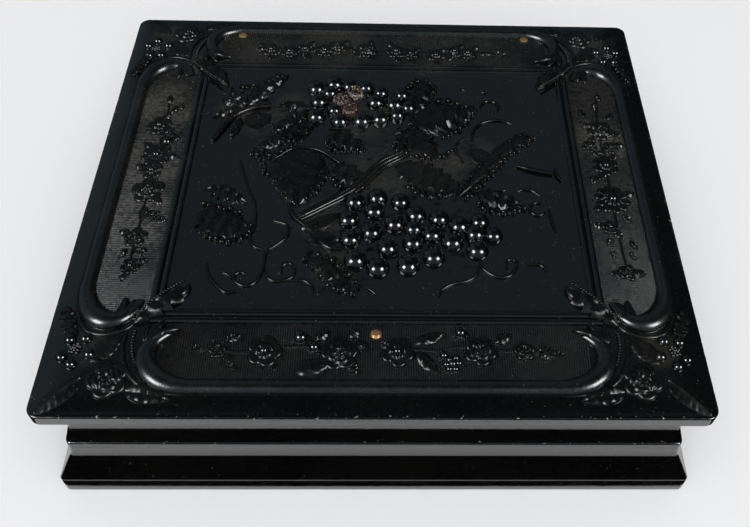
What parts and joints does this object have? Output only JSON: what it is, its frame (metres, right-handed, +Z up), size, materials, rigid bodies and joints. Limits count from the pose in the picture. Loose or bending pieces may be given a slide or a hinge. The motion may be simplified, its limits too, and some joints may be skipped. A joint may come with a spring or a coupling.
{
  "type": "union case",
  "caption": "Hinged moulded black union case with a grapevine lid, sprung clasp, velvet lining and a glazed image packet in the base tray.",
  "frame": {"origin": "centre of the footprint, on the plane the foot rests on", "axes": "+X along the front edge, +Y from the clasp to the hinges, +Z up through the lid"},
  "size_m": [0.0962, 0.0852, 0.0274],
  "materials": {
    "black_thermoplastic": "moulded, polished",
    "rivet_brass": "worn",
    "mat_brass": "thin stamped sheet",
    "silvered_plate": "polished, bare",
    "cover_glass": "clear",
    "velvet": "pile",
    "card": "plain pasteboard"
  },
  "bodies": {
    "base": {"base_moulding": "black_thermoplastic", "clasp_catch": "rivet_brass", "clasp_base_rivet": "rivet_brass", "image_plate": "silvered_plate", "brass_mat": "mat_brass", "cover_glass": "cover_glass", "preserver": "mat_brass", "velvet_retainer": "velvet", "hinge_left_base_leaf": "rivet_brass", "hinge_left_pin": "rivet_brass", "hinge_left_base_rivet": "rivet_brass", "hinge_right_base_leaf": "rivet_brass", "hinge_right_pin": "rivet_brass", "hinge_right_base_rivet": "rivet_brass"},
    "lid": {"lid_moulding": "black_thermoplastic", "lid_card": "card", "velvet_pad": "velvet", "clasp_leaf": "rivet_brass", "clasp_lid_rivet": "rivet_brass", "hinge_left_lid_leaf": "rivet_brass", "hinge_left_lid_rivet": "rivet_brass", "hinge_right_lid_leaf": "rivet_brass", "hinge_right_lid_rivet": "rivet_brass"},
    "tongue": {"clasp_tongue": "rivet_brass"}
  },
  "joints": [
    {"name": "lid_hinge", "type": "hinge", "parent": "base", "child": "lid", "pos_m": [0, 0.0412, 0.0119], "axis": [-1, 0, 0], "range_deg": [0, 160]},
    {"name": "clasp_flex", "type": "hinge", "parent": "lid", "child": "tongue", "pos_m": [-0.0003, -0.0355, 0.02285], "axis": [1, 0, 0], "range_deg": [0, 2.5], "stiffness_Nm_per_rad": 1.8}
  ]
}
